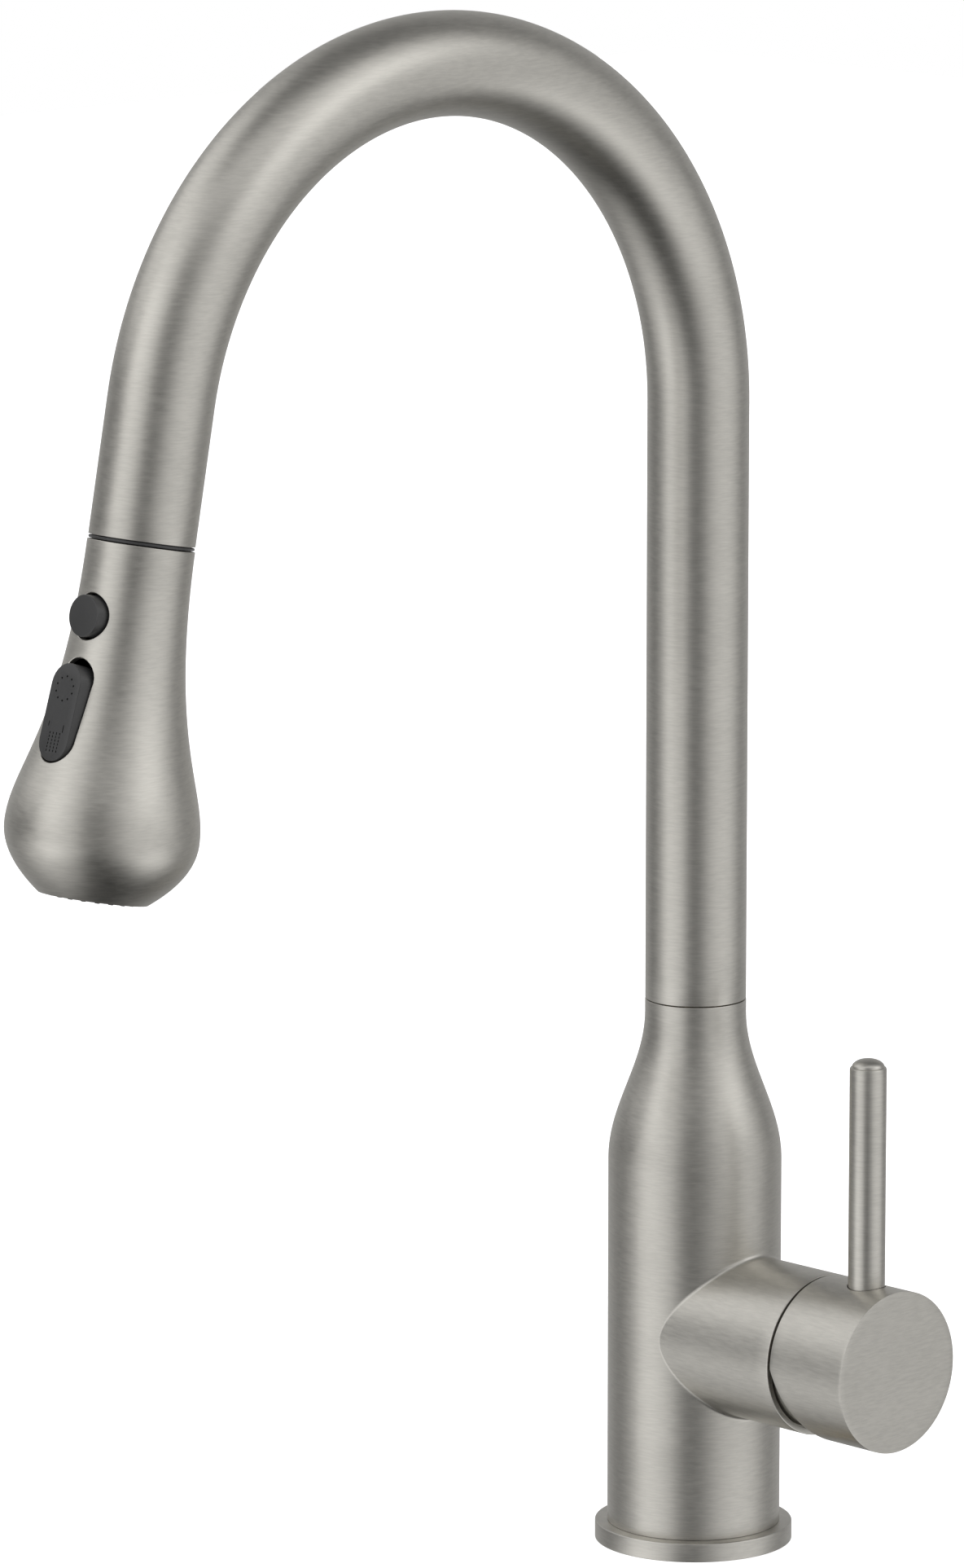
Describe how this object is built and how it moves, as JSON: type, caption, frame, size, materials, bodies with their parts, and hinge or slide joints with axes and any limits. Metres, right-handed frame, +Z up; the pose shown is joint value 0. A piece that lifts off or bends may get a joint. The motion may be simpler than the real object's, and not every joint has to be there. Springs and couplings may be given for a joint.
{
  "type": "pull down kitchen faucet",
  "caption": "Single-hole kitchen faucet with a gooseneck spout, a side lever on a horn, and a bulb-shaped pull-down spray head on a hose.",
  "frame": {"origin": "on the body's vertical axis, in the plane where the base flange rests on the deck", "axes": "+Z up along the body, -Y from the body towards the docked spray head, +X along the handle's horn"},
  "size_m": [0.1094, 0.2811, 0.5687],
  "materials": {
    "brushed_nickel": "brushed, satin",
    "cast_brass": "machined",
    "stainless_steel": "plain",
    "dark_grey_plastic": "fine matt",
    "white_acetal": "satin",
    "black_rubber": "matt",
    "red_seal_rubber": "matt",
    "white_ceramic": "polished ceramic",
    "magnet": "plain",
    "grey_braided_nylon": "braided"
  },
  "bodies": {
    "body": {"faucet_body": "brushed_nickel", "base_flange": "brushed_nickel", "base_gasket": "black_rubber", "threaded_shank": "cast_brass", "rubber_washer": "black_rubber", "steel_washer": "stainless_steel", "mounting_nut": "cast_brass", "hot_supply_stub": "cast_brass", "cold_supply_stub": "cast_brass", "outlet_stub": "cast_brass", "hose_in_body": "grey_braided_nylon", "hose_coupling": "cast_brass", "cartridge_seal": "red_seal_rubber", "cartridge_housing": "white_acetal", "fixed_ceramic_disc": "white_ceramic", "cartridge_nut": "cast_brass", "bonnet": "brushed_nickel"},
    "spout": {"spout_tube": "brushed_nickel", "spout_spigot": "cast_brass", "upper_glide_ring": "white_acetal", "lower_glide_ring": "white_acetal", "spout_retaining_ring": "stainless_steel", "dock_bushing": "dark_grey_plastic", "dock_magnet": "magnet", "hose_in_spout": "grey_braided_nylon"},
    "hose_end": {"hose_stretch": "grey_braided_nylon", "hose_ferrule": "stainless_steel", "hose_nut": "cast_brass", "hose_washer": "black_rubber"},
    "spray_head": {"head_shell": "brushed_nickel", "head_core": "dark_grey_plastic", "head_strike_ring": "stainless_steel", "check_valve": "white_acetal", "inlet_screen": "stainless_steel", "rocker_pin": "stainless_steel", "spray_face": "dark_grey_plastic", "nozzle_mat": "black_rubber", "aerator_insert": "white_acetal", "button_spring": "stainless_steel"},
    "button": {"pause_button": "dark_grey_plastic"},
    "rocker": {"mode_rocker": "dark_grey_plastic"},
    "spool": {"diverter_spool": "white_acetal"},
    "valve_carrier": {"stem_carrier": "dark_grey_plastic", "stem_pin": "stainless_steel"},
    "handle": {"lever_stem": "stainless_steel", "handle_cap": "brushed_nickel", "handle_lever": "brushed_nickel", "handle_set_screw": "stainless_steel"},
    "valve_disc": {"moving_ceramic_disc": "white_ceramic"}
  },
  "joints": [
    {"name": "spout_swivel", "type": "hinge", "parent": "body", "child": "spout", "pos_m": [0, 0, 0.16], "axis": [0, 0, 1], "continuous": true},
    {"name": "head_pull", "type": "slide", "parent": "spout", "child": "hose_end", "axis": [0, -0.1908, -0.9816], "range_m": [0, 0.17], "stiffness_N_per_m": 12, "springref_m": -0.6, "deforming": ["hose_stretch"]},
    {"name": "head_spin", "type": "hinge", "parent": "hose_end", "child": "spray_head", "pos_m": [0, -0.21126, 0.31634], "axis": [0, -0.1908, -0.9816], "continuous": true},
    {"name": "pause_press", "type": "slide", "parent": "spray_head", "child": "button", "axis": [0, 0.9816, -0.1908], "range_m": [0, 0.002], "stiffness_N_per_m": 400, "springref_m": -0.002, "deforming": ["button_spring"]},
    {"name": "mode_rock", "type": "hinge", "parent": "spray_head", "child": "rocker", "pos_m": [0, -0.23256, 0.2723], "axis": [-1, 0, 0], "range_deg": [0, 12]},
    {"name": "diverter_slide", "type": "slide", "parent": "spray_head", "child": "spool", "axis": [0, -0.1908, -0.9816], "range_m": [0, 0.0021]},
    {"name": "temperature_turn", "type": "hinge", "parent": "body", "child": "valve_carrier", "pos_m": [0.048, 0, 0.064], "axis": [1, 0, 0], "range_deg": [-45, 45]},
    {"name": "flow_tilt", "type": "hinge", "parent": "valve_carrier", "child": "handle", "pos_m": [0.048, 0, 0.064], "axis": [0, 1, 0], "range_deg": [0, 20]},
    {"name": "disc_slide", "type": "slide", "parent": "valve_carrier", "child": "valve_disc", "axis": [0, 0, 1], "range_m": [0, 0.0056]}
  ],
  "couplings": [
    {"joint": "diverter_slide", "follows": "mode_rock", "m_per_rad": 0.0095},
    {"joint": "disc_slide", "follows": "flow_tilt", "m_per_rad": 0.0155}
  ]
}
